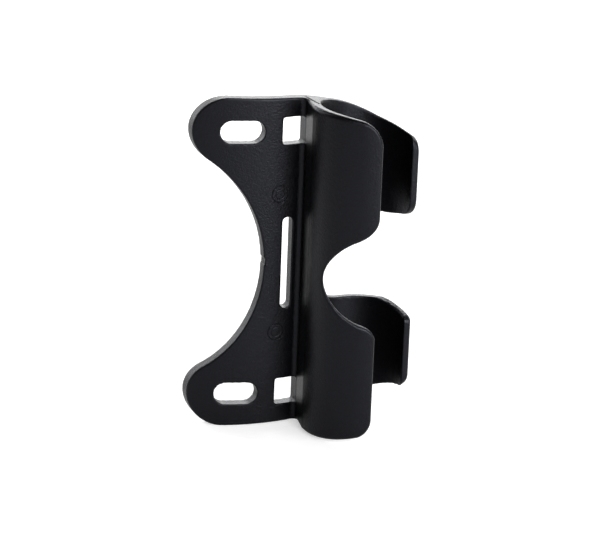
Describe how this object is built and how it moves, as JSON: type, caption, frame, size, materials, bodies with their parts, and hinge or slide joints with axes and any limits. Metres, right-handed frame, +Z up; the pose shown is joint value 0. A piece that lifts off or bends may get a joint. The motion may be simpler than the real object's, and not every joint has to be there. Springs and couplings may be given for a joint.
{
  "type": "bicycle pump holder",
  "caption": "One-piece moulded holder: a slotted plate that bolts under a bottle cage, with an open snap clip beside it for a pump's barrel.",
  "frame": {"origin": "midway between the two bolt slots, on the back of the plate", "axes": "+X from the bolt slots to the clip, +Y from the front of the holder into the frame tube, +Z up along the pump"},
  "size_m": [0.0517, 0.0285, 0.0802],
  "materials": {
    "moulded_nylon": "satin black, fine moulded grain"
  },
  "bodies": {
    "root": {"holder": "moulded_nylon"}
  },
  "joints": []
}
